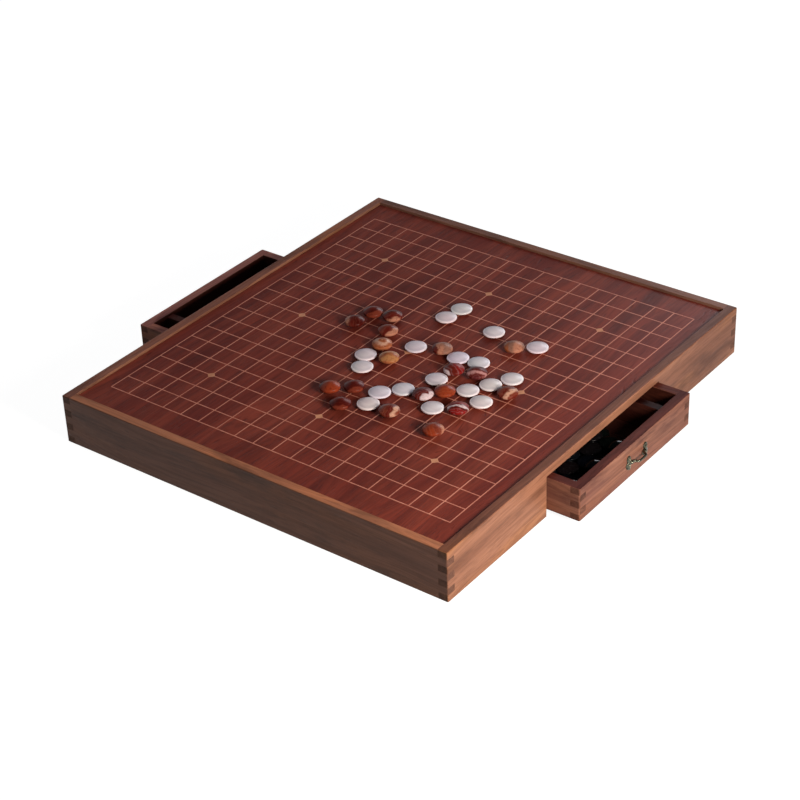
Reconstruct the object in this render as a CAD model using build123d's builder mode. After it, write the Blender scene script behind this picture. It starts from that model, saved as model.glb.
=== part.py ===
from build123d import *
import os
from math import sqrt

# A wooden go board that is also a box. The playing panel lies a little below the
# rim of a finger-jointed frame, and a shallow drawer for the stones slides out of
# the frame's left side and out of its right side. It stands as in play: both
# drawers partly open, loose stones on the board and dark stones in the right drawer.
#
# Millimetres. The origin is the middle of the underside, +Z is up, the players sit
# at -Y and +Y, and the right-hand drawer opens towards +X.

os.makedirs("parts", exist_ok=True)

# ---- the playing grid ----
grid_lines = 19
pitch_x = 22.0
pitch_y = 23.0
line_width = 1.1
line_depth = 0.4
star_spacing_lines = 6
star_side = 6.4
star_corner_radius = 0.9
grid_margin_x = 15.85
grid_margin_y = 30.5

# ---- the frame and the panels in it ----
rail_thickness = 10.0
rim_height = 2.5
panel_thickness = 6.0
panel_gap = 0.25
base_thickness = 7.5
base_gap = 0.25
frame_fingers = 7
outer_rounding = 1.2
foot_rounding = 0.5
inner_easing = 0.5
cleat_width = 10.0
guide_width = 12.0
beam_width = 20.0

# ---- the drawers ----
drawer_width = 192.0
drawer_height = 34.4
drawer_wall = 10.0
drawer_fingers = 5
drawer_rounding = 1.6
drawer_rim_easing = 0.5
drawer_gap_side = 0.6
drawer_gap_below = 0.3
drawer_gap_above = 1.0
drawer_gap_back = 0.5
right_pull_out = 34.4
left_pull_out = 41.2
floor_thickness = 3.0
floor_rise = 3.0
floor_groove = 4.0
divider_width = 9.0
divider_offset = 62.0
divider_drop = 2.7

# ---- the drawer handles ----
foot_spacing = 28.5
foot_height = 14.8
foot_tip_radius = 0.8
foot_thickness = 1.6
foot_bevel = 0.6
upper_lobe_radius = 3.1
upper_lobe_rise = 3.7
lower_lobe_radius = 4.2
lower_lobe_drop = 2.7
bow_reach = 8.2
bow_wire = 2.6
knee_step = 2.65
knee_lift = 1.1
leg_step = 3.2
shoulder_fall = 0.8
knuckle_diameter = 3.8
knuckle_inset = 2.6
knuckle_clearance = 0.05
nail_shank = 1.1
nail_head = 2.6
nail_head_height = 0.9
nail_length = 8.0
nail_clearance = 0.05

# ---- the screws that hold the base ----
screw_head = 6.4
screw_shank = 3.2
screw_length = 18.0
screw_head_depth = 2.2
screw_sink = 0.3
screw_slot_width = 0.9
screw_slot_depth = 1.0
screw_clearance = 0.05

# ---- the stones ----
stone_diameter = 21.8
white_thickness = 5.6
agate_undersize = 1.4
agate_thickness = 9.8
agate_edge = 3.4
dark_thickness = 7.0
stone_edge = 1.6
stone_seat = 0.05
board_stone_gap = 0.2
drawer_stone_gap = 0.4
stone_bed_length = 119.0

# Where the loose stones lie on the board, counted in stone steps from its middle.
white_places = [
    (-0.10, 4.25), (-0.25, 3.25), (2.30, 3.35), (4.65, 3.30), (0.15, 0.40), (-1.30, -1.35),
    (-0.80, -2.25), (2.25, 0.65), (3.25, 0.80), (2.50, -1.30), (4.70, -0.40), (5.20, 0.50),
    (4.15, -1.30), (1.10, -3.50), (1.80, -2.75), (1.25, -4.50), (3.70, -3.25), (5.15, -1.75),
]
agate_places = [
    (-3.40, 0.60), (-3.20, 1.70), (-2.25, 1.90), (-1.65, 0.75), (-1.15, -0.35), (-0.20, -1.10),
    (1.30, 0.80), (3.85, 2.65), (2.75, -0.35), (3.75, -0.05), (3.45, -2.00), (2.80, -2.70),
    (5.75, -0.65), (-0.85, -4.45), (0.00, -3.85), (0.35, -5.25), (2.40, -4.55), (4.70, -2.80),
    (4.80, -4.70),
]

# ---- sizes that follow from those above ----
grid_x = (grid_lines - 1) * pitch_x
grid_y = (grid_lines - 1) * pitch_y
inner_x = grid_x + 2 * grid_margin_x
inner_y = grid_y + 2 * grid_margin_y
board_x = inner_x + 2 * rail_thickness
board_y = inner_y + 2 * rail_thickness

housing_height = drawer_gap_below + drawer_height + drawer_gap_above
panel_underside = base_thickness + housing_height
playing_surface = panel_underside + panel_thickness
body_height = playing_surface + rim_height
frame_finger = body_height / frame_fingers

mouth_width = drawer_width + 2 * drawer_gap_side
guide_centre = (mouth_width + guide_width) / 2
beam_length = inner_y - 2 * cleat_width

drawer_bottom = base_thickness + drawer_gap_below
drawer_length = (board_x - beam_width) / 2 - drawer_gap_back
drawer_finger = drawer_height / drawer_fingers
drawer_inner_width = drawer_width - 2 * drawer_wall
drawer_inner_length = drawer_length - 2 * drawer_wall
floor_top = floor_rise + floor_thickness
board_step = stone_diameter + board_stone_gap

middle_low = (Align.CENTER, Align.CENTER, Align.MIN)


def keep(part, name):
    """Label a finished piece and write it as its own file."""
    part.label = name
    export_step(part, f"parts/{name}.step")


# ---------------------------------------------------------------- frame rails
# Four rails meet in finger joints. The left and right rails own the odd fingers,
# counted from the top, so their end grain shows on the front and back faces.
with BuildPart() as frame_envelope:
    Box(board_x, board_y, body_height, align=middle_low)
    fillet(frame_envelope.edges().filter_by(Axis.Z), outer_rounding)
    fillet(frame_envelope.faces().sort_by(Axis.Z)[-1].edges(), outer_rounding)
    fillet(frame_envelope.faces().sort_by(Axis.Z)[0].edges(), foot_rounding)


def frame_rail(name, size_x, size_y, place, yielded_fingers, has_mouth):
    """One rail: a strip of the envelope, less the fingers of the rails it meets."""
    with BuildPart() as rail:
        with BuildSketch():
            with Locations(place):
                Rectangle(size_x, size_y)
        extrude(amount=body_height)
        add(frame_envelope.part, mode=Mode.INTERSECT)
        for finger in yielded_fingers:
            with BuildSketch(Plane.XY.offset(finger * frame_finger)):
                with GridLocations(board_x - rail_thickness, board_y - rail_thickness, 2, 2):
                    Rectangle(rail_thickness, rail_thickness)
            extrude(amount=frame_finger, mode=Mode.SUBTRACT)
        if has_mouth:
            with BuildSketch():
                with Locations(place):
                    Rectangle(size_x, mouth_width)
            extrude(amount=panel_underside, mode=Mode.SUBTRACT)
        with BuildSketch(Plane.XY.offset(body_height - inner_easing)):
            Rectangle(inner_x, inner_y)
        extrude(amount=inner_easing, taper=-45, mode=Mode.SUBTRACT)
    keep(rail.part, name)


odd_fingers = range(0, frame_fingers, 2)
even_fingers = range(1, frame_fingers, 2)
end_rail_place = (board_y - rail_thickness) / 2
side_rail_place = (board_x - rail_thickness) / 2
frame_rail("front_rail", board_x, rail_thickness, (0, -end_rail_place), odd_fingers, False)
frame_rail("back_rail", board_x, rail_thickness, (0, end_rail_place), odd_fingers, False)
frame_rail("left_rail", rail_thickness, board_y, (-side_rail_place, 0), even_fingers, True)
frame_rail("right_rail", rail_thickness, board_y, (side_rail_place, 0), even_fingers, True)

# ------------------------------------------- playing panel with inlaid grid
# The lattice of lines stops short of the nine star points, which are inlaid as
# small diamonds of their own. Both inlays fill pockets and are level with the panel.
inlay_plane = Plane.XY.offset(playing_surface - line_depth)
star_spacing_x = star_spacing_lines * pitch_x
star_spacing_y = star_spacing_lines * pitch_y

with BuildSketch(inlay_plane) as star_shapes:
    with GridLocations(star_spacing_x, star_spacing_y, 3, 3):
        RectangleRounded(star_side, star_side, star_corner_radius, rotation=45)

with BuildSketch(inlay_plane) as line_shapes:
    with GridLocations(pitch_x, pitch_y, grid_lines, 1):
        Rectangle(line_width, grid_y + line_width)
    with GridLocations(pitch_x, pitch_y, 1, grid_lines):
        Rectangle(grid_x + line_width, line_width)
    with GridLocations(star_spacing_x, star_spacing_y, 3, 3):
        RectangleRounded(star_side, star_side, star_corner_radius, rotation=45, mode=Mode.SUBTRACT)

with BuildPart() as grid_inlay:
    extrude(line_shapes.sketch, amount=line_depth, clean=False)
keep(grid_inlay.part, "grid_inlay")

with BuildPart() as star_points:
    extrude(star_shapes.sketch, amount=line_depth)
keep(star_points.part, "star_points")

with BuildPart() as playing_panel:
    with BuildSketch(Plane.XY.offset(panel_underside)):
        Rectangle(inner_x - 2 * panel_gap, inner_y - 2 * panel_gap)
    extrude(amount=panel_thickness)
    extrude(star_shapes.sketch, amount=line_depth, mode=Mode.SUBTRACT)
    extrude(line_shapes.sketch, amount=line_depth, mode=Mode.SUBTRACT, clean=False)
keep(playing_panel.part, "playing_panel")


# -------------------------------- cleats, guides and beam between the two panels
# They stand on the base and carry the playing panel. The guides run beside the
# drawers and keep them square, and the beam across the middle is their back stop.
# Screws come up through the base into all but the short side cleats.
screw_spacing_long = (inner_x - cleat_width) / 2
cleat_place = (inner_y - cleat_width) / 2
guide_length = (inner_x - beam_width) / 2
guide_middle = (inner_x + beam_width) / 4
screw_places = (
    [(column * screw_spacing_long, end * cleat_place) for end in (-1, 1) for column in (-1, 0, 1)]
    + [(side * guide_middle, end * guide_centre) for end in (-1, 1) for side in (-1, 1)]
    + [(0, end * drawer_inner_width / 4) for end in (-1, 1)]
)

with BuildPart() as screw:
    with Locations((0, 0, screw_sink)):
        Cylinder(screw_shank / 2, screw_length, align=middle_low)
        Cone(screw_head / 2, screw_shank / 2, screw_head_depth, align=middle_low)
        Box(screw_head, screw_slot_width, screw_slot_depth, align=middle_low, mode=Mode.SUBTRACT)

with BuildPart() as screw_hole:
    Cylinder(screw_head / 2 + screw_clearance, screw_sink, align=middle_low)
    with Locations((0, 0, screw_sink)):
        Cylinder(screw_shank / 2 + screw_clearance, screw_length, align=middle_low)
        Cone(
            screw_head / 2 + screw_clearance,
            screw_shank / 2 + screw_clearance,
            screw_head_depth,
            align=middle_low,
        )


def batten(name, size_x, size_y, place):
    """A straight strip from the base to the playing panel, bored for the base screws."""
    with BuildPart() as strip:
        with BuildSketch(Plane.XY.offset(base_thickness)):
            with Locations(place):
                Rectangle(size_x, size_y)
        extrude(amount=housing_height)
        with Locations(*screw_places):
            add(screw_hole.part, mode=Mode.SUBTRACT)
    keep(strip.part, name)


batten("front_cleat", inner_x, cleat_width, (0, -cleat_place))
batten("back_cleat", inner_x, cleat_width, (0, cleat_place))
batten("centre_beam", beam_width, beam_length, (0, 0))

guide_outer = mouth_width / 2 + guide_width
side_cleat_length = beam_length / 2 - guide_outer
side_cleat_y = (beam_length / 2 + guide_outer) / 2
side_cleat_x = (inner_x - cleat_width) / 2
for side_name, side in (("left", -1), ("right", 1)):
    for end_name, end in (("front", -1), ("back", 1)):
        cleat_middle = (side * side_cleat_x, end * side_cleat_y)
        guide_centre_point = (side * guide_middle, end * guide_centre)
        batten(f"{side_name}_{end_name}_cleat", cleat_width, side_cleat_length, cleat_middle)
        batten(f"{side_name}_{end_name}_guide", guide_length, guide_width, guide_centre_point)

# ------------------------------------------------------- base panel and screws
# The base lies inside the frame, level with its lower edges.
with BuildPart() as base_panel:
    with BuildSketch():
        Rectangle(inner_x - 2 * base_gap, inner_y - 2 * base_gap)
    extrude(amount=base_thickness)
    with Locations(*screw_places):
        add(screw_hole.part, mode=Mode.SUBTRACT)
keep(base_panel.part, "base_panel")

with BuildPart() as base_screws:
    with Locations(*screw_places):
        add(screw.part)
keep(base_screws.part, "base_screws")


# ------------------------------------------------------------ the loose stones
def dome_radius(rim, crown):
    """Radius of the sphere whose cap stands crown high on a circle of radius rim."""
    return (rim * rim + crown * crown) / (2 * crown)


def dome_height(rim, crown, distance):
    """Height of that cap above its rim, at a distance from its axis."""
    radius = dome_radius(rim, crown)
    return crown - radius + sqrt(radius * radius - distance * distance)


def stone_form(diameter, thickness, edge):
    """A stone lying on Z=0: a dome above and below, with a rounded edge between."""
    half = thickness / 2
    half_edge = edge / 2
    rim = diameter / 2 - half_edge / 2
    way_out = rim / 2
    bulge = half_edge + dome_height(rim, half - half_edge, way_out)
    with BuildPart() as stone:
        with BuildSketch(Plane.XZ):
            with BuildLine():
                ThreePointArc((0, thickness), (way_out, half + bulge), (rim, half + half_edge))
                ThreePointArc(
                    (rim, half + half_edge), (diameter / 2, half), (rim, half - half_edge)
                )
                ThreePointArc((rim, half - half_edge), (way_out, half - bulge), (0, 0))
                Line((0, 0), (0, thickness))
            make_face()
        revolve(axis=Axis.Z)
    return stone.part


def stones_on_board(name, places, diameter, thickness, edge):
    """Loose stones of one kind, each lying flat on the playing panel."""
    stone = stone_form(diameter, thickness, edge)
    with BuildPart() as stones:
        with Locations(Plane.XY.offset(playing_surface + stone_seat)):
            with Locations(*[(column * board_step, row * board_step) for column, row in places]):
                add(stone)
    keep(stones.part, name)


agate_diameter = stone_diameter - agate_undersize
stones_on_board("white_stones", white_places, stone_diameter, white_thickness, stone_edge)
stones_on_board("agate_stones", agate_places, agate_diameter, agate_thickness, agate_edge)


# ----------------------------------------------------------------- the handles
# A small cast pull: two leaf-shaped feet with a round bow between them, fixed by
# two round-headed nails through each foot.
def leaf_lobe(middle, radius, tip):
    """Half of a foot: a round lobe drawn out to a blunt point, with leaning sides."""
    with BuildPart() as lobe:
        for height, inset in ((0, 0), (foot_thickness, foot_bevel)):
            with BuildSketch(Plane.XY.offset(height)):
                with Locations((0, middle)):
                    Circle(radius - inset)
                with Locations((0, tip)):
                    Circle(foot_tip_radius - inset)
                make_hull()
        loft(ruled=True)
    return lobe.part


foot_tip = foot_height / 2 - foot_tip_radius
with BuildPart() as foot:
    add(leaf_lobe(upper_lobe_rise, upper_lobe_radius, foot_tip))
    add(leaf_lobe(-lower_lobe_drop, lower_lobe_radius, -foot_tip))

nail_places = [
    (side * foot_spacing / 2, height)
    for side in (-1, 1)
    for height in (upper_lobe_rise, -lower_lobe_drop)
]
nail_dome_way_out = nail_head / 4
nail_dome_rise = dome_height(nail_head / 2, nail_head_height, nail_dome_way_out)
nail_tip = foot_thickness - nail_length

with BuildPart() as nail:
    with BuildSketch(Plane.XZ):
        with BuildLine():
            Polyline(
                (0, foot_thickness + nail_head_height),
                (0, nail_tip),
                (nail_shank / 2, nail_tip),
                (nail_shank / 2, foot_thickness),
                (nail_head / 2, foot_thickness),
            )
            ThreePointArc(
                (nail_head / 2, foot_thickness),
                (nail_dome_way_out, foot_thickness + nail_dome_rise),
                (0, foot_thickness + nail_head_height),
            )
        make_face()
    revolve(axis=Axis.Z)


# The pull lies on Z=0 here, and is turned onto a drawer's face when it is fitted.
# Its bow leaves each knuckle slowly, rises in a steep leg and is almost flat outside.
knuckle_depth = knuckle_diameter / 2 + knuckle_clearance
bow_crest = bow_reach - bow_wire / 2
bow_end = foot_spacing / 2 - knuckle_inset
bow_knee = bow_end - knee_step
half_bow = [
    (bow_end, knuckle_depth),
    (bow_knee, knuckle_depth + knee_lift),
    (bow_knee - leg_step, bow_crest - shoulder_fall),
]

with BuildPart() as pull:
    with Locations((-foot_spacing / 2, 0), (foot_spacing / 2, 0)):
        add(foot.part)
    with BuildLine(Plane.XZ) as bow:
        Spline(*[(-along, out) for along, out in half_bow], (0, bow_crest), *reversed(half_bow))
    with BuildSketch(Plane(origin=bow.line @ 0, z_dir=bow.line % 0)):
        Circle(bow_wire / 2)
    sweep(path=bow.line)
    with Locations(bow.line @ 0, bow.line @ 1):
        Sphere(knuckle_diameter / 2)
    with Locations(*nail_places):
        Hole(nail_shank / 2 + nail_clearance)


def drawer_handle(side_name, face):
    """The pull and its nails on a drawer's face, whose plane looks outwards."""
    with BuildPart() as handle:
        with Locations(face):
            add(pull.part)
    keep(handle.part, f"{side_name}_handle")

    with BuildPart() as nails:
        with Locations(face):
            with Locations(*nail_places):
                add(nail.part)
    keep(nails.part, f"{side_name}_handle_nails")


# ----------------------------------------------------------------- the drawers
def drawer(side_name, side, pull_out):
    """One drawer, pulled out of its side of the frame, and its plane.

    In the drawer's plane X points outwards from its face, Y along the face and Z up.
    """
    seat = Plane(
        origin=(side * (board_x / 2 + pull_out), 0, drawer_bottom), x_dir=(side, 0, 0), z_dir=(0, 0, 1)
    )
    face = Plane(
        origin=seat.from_local_coords((0, 0, drawer_height / 2)), x_dir=seat.y_dir, z_dir=seat.x_dir
    )
    middle = (-drawer_length / 2, 0)

    with BuildPart() as envelope:
        with BuildSketch(seat):
            with Locations(middle):
                Rectangle(drawer_length, drawer_width)
        extrude(amount=drawer_height)
        fillet(envelope.edges().filter_by(Axis.Z), drawer_rounding)
        fillet(envelope.faces().sort_by(Axis.Z)[-1].edges(), drawer_rim_easing)
        fillet(envelope.faces().sort_by(Axis.Z)[0].edges(), drawer_rim_easing)

    with BuildPart() as bottom:
        with BuildSketch(seat.offset(floor_rise)):
            with Locations(middle):
                Rectangle(
                    drawer_inner_length + 2 * floor_groove, drawer_inner_width + 2 * floor_groove
                )
        extrude(amount=floor_thickness)
    keep(bottom.part, f"{side_name}_drawer_bottom")

    def drawer_wall_piece(piece_name, size_x, size_y, place, yielded_fingers, bored):
        with BuildPart() as wall:
            with BuildSketch(seat):
                with Locations(place):
                    Rectangle(size_x, size_y)
            extrude(amount=drawer_height)
            add(envelope.part, mode=Mode.INTERSECT)
            for finger in yielded_fingers:
                with BuildSketch(seat.offset(finger * drawer_finger)):
                    with Locations(middle):
                        with GridLocations(
                            drawer_length - drawer_wall, drawer_width - drawer_wall, 2, 2
                        ):
                            Rectangle(drawer_wall, drawer_wall)
                extrude(amount=drawer_finger, mode=Mode.SUBTRACT)
            with BuildSketch(seat.offset(drawer_height - drawer_rim_easing)):
                with Locations(middle):
                    Rectangle(drawer_inner_length, drawer_inner_width)
            extrude(amount=drawer_rim_easing, taper=-45, mode=Mode.SUBTRACT)
            add(bottom.part, mode=Mode.SUBTRACT)
            if bored:
                with BuildSketch(face):
                    with Locations(*nail_places):
                        Circle(nail_shank / 2 + nail_clearance)
                extrude(amount=nail_tip, mode=Mode.SUBTRACT)
        keep(wall.part, f"{side_name}_drawer_{piece_name}")

    # The front and back own the odd fingers, so their end grain shows on the sides.
    owned = range(0, drawer_fingers, 2)
    yielded = range(1, drawer_fingers, 2)
    side_place = (drawer_width - drawer_wall) / 2
    drawer_wall_piece("front", drawer_wall, drawer_width, (-drawer_wall / 2, 0), yielded, True)
    drawer_wall_piece(
        "back", drawer_wall, drawer_width, (drawer_wall / 2 - drawer_length, 0), yielded, False
    )
    drawer_wall_piece(
        "left_side", drawer_length, drawer_wall, (middle[0], -side_place), owned, False
    )
    drawer_wall_piece(
        "right_side", drawer_length, drawer_wall, (middle[0], side_place), owned, False
    )

    with BuildPart() as divider:
        with BuildSketch(seat.offset(floor_top)):
            with Locations((middle[0], divider_offset)):
                Rectangle(drawer_inner_length, divider_width)
        extrude(amount=drawer_height - divider_drop - floor_top)
        fillet(divider.faces().sort_by(Axis.Z)[-1].edges().filter_by(Axis.X), drawer_rim_easing)
    keep(divider.part, f"{side_name}_drawer_divider")

    drawer_handle(side_name, face)
    return seat


right_drawer = drawer("right", 1, right_pull_out)
drawer("left", -1, left_pull_out)


# -------------------------------------------------- dark stones in one drawer
# They lie two deep at one end of the right drawer's wide compartment. The lower
# layer is packed in staggered rows, and each upper stone rests on three of them.
dark_stone = stone_form(stone_diameter, dark_thickness, stone_edge)
step = stone_diameter + drawer_stone_gap
row_step = step * sqrt(3) / 2
lower_z = floor_top + stone_seat
dark_crown = (dark_thickness - stone_edge) / 2
dark_dome = dome_radius(stone_diameter / 2 - stone_edge / 4, dark_crown)
overhang = step / sqrt(3)
upper_z = (
    lower_z + sqrt(4 * dark_dome * dark_dome - overhang * overhang) - 2 * dark_dome + dark_thickness
) + stone_seat
first_x = -drawer_wall - step / 2
first_y = -drawer_inner_width / 2 + step / 2
columns = int((drawer_inner_length - step / 2) / step)
rows = 1 + int((stone_bed_length - step) / row_step)


def layer_places(layer_rows, layer_columns, shift_x, shift_y, height):
    """Stones in staggered rows, every other row half a step further from the face."""
    return [
        (
            first_x - (column + (row % 2) / 2) * step - shift_x,
            first_y + row * row_step + shift_y,
            height,
        )
        for row in range(layer_rows)
        for column in range(layer_columns)
    ]


with BuildPart() as dark_stones:
    with Locations(right_drawer):
        with Locations(*layer_places(rows, columns, 0, 0, lower_z)):
            add(dark_stone)
        with Locations(*layer_places(rows - 1, columns - 1, step / 2, overhang / 2, upper_z)):
            add(dark_stone)
keep(dark_stones.part, "dark_stones")
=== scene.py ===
import math
import random

import bmesh
import bpy
from mathutils import Matrix, Vector


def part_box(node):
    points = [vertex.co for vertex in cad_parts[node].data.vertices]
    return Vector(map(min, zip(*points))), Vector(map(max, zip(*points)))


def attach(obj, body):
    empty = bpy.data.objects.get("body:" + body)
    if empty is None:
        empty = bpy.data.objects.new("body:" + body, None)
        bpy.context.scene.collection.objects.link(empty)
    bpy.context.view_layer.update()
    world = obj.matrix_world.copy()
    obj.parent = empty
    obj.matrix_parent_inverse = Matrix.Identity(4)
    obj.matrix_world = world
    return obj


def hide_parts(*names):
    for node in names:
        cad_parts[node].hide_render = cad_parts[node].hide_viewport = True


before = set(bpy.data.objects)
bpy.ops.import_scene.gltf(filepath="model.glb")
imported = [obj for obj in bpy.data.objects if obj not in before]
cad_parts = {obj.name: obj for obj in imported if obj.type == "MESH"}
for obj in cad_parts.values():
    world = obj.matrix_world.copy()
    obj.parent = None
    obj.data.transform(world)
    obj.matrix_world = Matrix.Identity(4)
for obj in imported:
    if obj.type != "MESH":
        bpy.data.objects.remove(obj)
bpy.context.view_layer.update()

# ---------------------------------------------------------------- the camera
# A long lens looks down at the board over its near corner, turned by a small roll,
# at the distance that the board's own corners give.
camera_place = (1.048036, -1.360403, 1.074872)
camera_azimuth = math.radians(37.925)
camera_elevation = math.radians(32.163)
camera_roll = math.radians(-2.289)

camera_data = bpy.data.cameras.new("long_lens")
camera_data.lens = 92.85
camera_data.sensor_width = 36.0
camera_data.clip_end = 50.0
camera = bpy.data.objects.new("camera", camera_data)
camera.matrix_world = (
    Matrix.Translation(camera_place)
    @ Matrix.Rotation(camera_azimuth, 4, "Z")
    @ Matrix.Rotation(math.pi / 2 - camera_elevation, 4, "X")
    @ Matrix.Rotation(camera_roll, 4, "Z")
)
bpy.context.scene.collection.objects.link(camera)
bpy.context.scene.camera = camera
bpy.context.scene.view_settings.view_transform = "Standard"


# ------------------------------------------------------ the floor and the light
# A warm window-like lamp low on the right, weak cool ones behind and on the left, and
# a dim room round them. The floor is pale to look at, and throws little light back.
def node(tree, kind, inputs=None, **settings):
    """One shader node; each input is a plain value, or a socket to link from."""
    made = tree.nodes.new(kind)
    for key, value in settings.items():
        setattr(made, key, value)
    for key, value in (inputs or {}).items():
        if isinstance(value, bpy.types.NodeSocket):
            tree.links.new(value, made.inputs[key])
        else:
            made.inputs[key].default_value = value
    return made


def maths(tree, operation, first, second=0.5, third=0.5, clamp=False):
    """The result of a Math node, as a socket."""
    values = {0: first, 1: second, 2: third}
    made = node(tree, "ShaderNodeMath", values, operation=operation, use_clamp=clamp)
    return made.outputs[0]


def seen_directly(tree):
    """1 for rays from the camera and for reflections and refractions of what it sees."""
    path = node(tree, "ShaderNodeLightPath")
    mirrored = maths(tree, "ADD", path.outputs["Is Camera Ray"], path.outputs["Is Glossy Ray"])
    return maths(tree, "ADD", mirrored, path.outputs["Is Transmission Ray"], clamp=True)


def soft_lamp(name, azimuth, elevation, distance, size, power, colour):
    """A square lamp at a bearing from the board's middle (0 is +X), aimed at it."""
    lamp_data = bpy.data.lights.new(name, "AREA")
    lamp_data.size = size
    lamp_data.energy = power
    lamp_data.color = colour
    lamp = bpy.data.objects.new(name, lamp_data)
    bearing = math.radians(azimuth)
    height = math.radians(elevation)
    level = math.cos(height)
    away = Vector((math.cos(bearing) * level, math.sin(bearing) * level, math.sin(height)))
    lamp.location = away * distance
    lamp.rotation_euler = away.to_track_quat("Z", "Y").to_euler()
    bpy.context.scene.collection.objects.link(lamp)


soft_lamp(
    "window_lamp",
    azimuth=-19.0,
    elevation=23.5,
    distance=1.06,
    size=0.28,
    power=10.4,
    colour=(1.0, 0.90, 0.79),
)
soft_lamp(
    "back_lamp",
    azimuth=100.0,
    elevation=27.0,
    distance=2.6,
    size=0.8,
    power=15.0,
    colour=(0.93, 0.94, 1.0),
)
soft_lamp(
    "left_lamp",
    azimuth=172.0,
    elevation=36.0,
    distance=2.6,
    size=1.6,
    power=4.5,
    colour=(0.92, 0.94, 1.0),
)

# Seen or mirrored, the room is pale up to a little above the horizon and dark
# overhead. As a light it is equally dim all round.
room_light = 0.10
room = bpy.data.worlds.new("dim_room")
room.use_nodes = True
bpy.context.scene.world = room
room_tree = room.node_tree
room_tree.nodes.clear()
room_bearing = node(room_tree, "ShaderNodeTexCoord").outputs["Generated"]
room_height = node(room_tree, "ShaderNodeSeparateXYZ", {0: room_bearing}).outputs["Z"]
pale_wall = node(
    room_tree,
    "ShaderNodeMapRange",
    {"Value": room_height, "From Min": 0.12, "From Max": 0.42, "To Min": 0.92, "To Max": 0.04},
    interpolation_type="SMOOTHSTEP",
).outputs["Result"]
room_strength = node(
    room_tree,
    "ShaderNodeMix",
    {0: seen_directly(room_tree), 2: room_light, 3: pale_wall},
    data_type="FLOAT",
).outputs[0]
room_background = node(
    room_tree,
    "ShaderNodeBackground",
    {"Color": (0.96, 0.97, 1.0, 1.0), "Strength": room_strength},
)
node(room_tree, "ShaderNodeOutputWorld", {"Surface": room_background.outputs[0]})

floor_size = 30.0
floor_drop = 0.0001
floor_seen_brightness = 0.93
floor_corners = [(-1, -1), (1, -1), (1, 1), (-1, 1)]
floor_mesh = bpy.data.meshes.new("floor")
floor_mesh.from_pydata(
    [(x * floor_size / 2, y * floor_size / 2, -floor_drop) for x, y in floor_corners],
    [],
    [(0, 1, 2, 3)],
)
floor = bpy.data.objects.new("floor", floor_mesh)
bpy.context.scene.collection.objects.link(floor)
floor_paint = bpy.data.materials.new("pale_floor")
floor_paint.use_nodes = True
floor_tree = floor_paint.node_tree
floor_glow = maths(floor_tree, "MULTIPLY", seen_directly(floor_tree), floor_seen_brightness)
floor_shader = floor_tree.nodes["Principled BSDF"]
floor_shader.inputs["Base Color"].default_value = (0.26, 0.26, 0.26, 1.0)
floor_shader.inputs["Roughness"].default_value = 0.9
floor_shader.inputs["Specular IOR Level"].default_value = 0.0
floor_shader.inputs["Emission Color"].default_value = (1.0, 1.0, 1.0, 1.0)
floor_tree.links.new(floor_glow, floor_shader.inputs["Emission Strength"])
floor_mesh.materials.append(floor_paint)


# ------------------------------------------------------------ the frame's rails
# Four rails of oiled walnut, 10 mm thick, finger-jointed and glued at the corners
# and rounded over by hand. The shorter front and back ones get a darker copy of the
# walnut, as painted shade on their long faces.
def rgb(red, green, blue):
    """A colour as it is seen on a screen, 0 to 255, as a linear shader colour."""
    screen = [channel / 255 for channel in (red, green, blue)]
    linear = [c / 12.92 if c <= 0.04045 else ((c + 0.055) / 1.055) ** 2.4 for c in screen]
    return (*linear, 1.0)


def group_with(name, inputs, outputs):
    """An empty shader node group with named inputs (with defaults) and outputs."""
    group = bpy.data.node_groups.new(name, "ShaderNodeTree")
    for label, kind, value in inputs:
        made = group.interface.new_socket(label, in_out="INPUT", socket_type="NodeSocket" + kind)
        if value is not None:
            made.default_value = value
    for label, kind in outputs:
        group.interface.new_socket(label, in_out="OUTPUT", socket_type="NodeSocket" + kind)
    return group, node(group, "NodeGroupInput"), node(group, "NodeGroupOutput")


def stretched_noise(tree, place, stretch, detail, roughness=0.5):
    """Noise that repeats so many times a metre along each axis."""
    scaled = node(tree, "ShaderNodeVectorMath", {0: place, 1: stretch}, operation="MULTIPLY")
    settings = {"Vector": scaled.outputs[0], "Scale": 1.0, "Detail": detail, "Roughness": roughness}
    return node(tree, "ShaderNodeTexNoise", settings)


def step_between(tree, value, low, high):
    """0 below low, 1 above high, and smooth between them."""
    settings = {"Value": value, "From Min": low, "From Max": high}
    made = node(tree, "ShaderNodeMapRange", settings, interpolation_type="SMOOTHSTEP")
    return made.outputs["Result"]


def mixed(tree, share, first, second, blend="MIX"):
    """Two colours mixed by a share, as a socket."""
    made = node(
        tree,
        "ShaderNodeMix",
        {0: share},
        data_type="RGBA",
        blend_type=blend,
        clamp_factor=True,
    )
    for colour_input, value in ((made.inputs[6], first), (made.inputs[7], second)):
        if isinstance(value, bpy.types.NodeSocket):
            tree.links.new(value, colour_input)
        else:
            colour_input.default_value = value
    return made.outputs[2]


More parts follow.
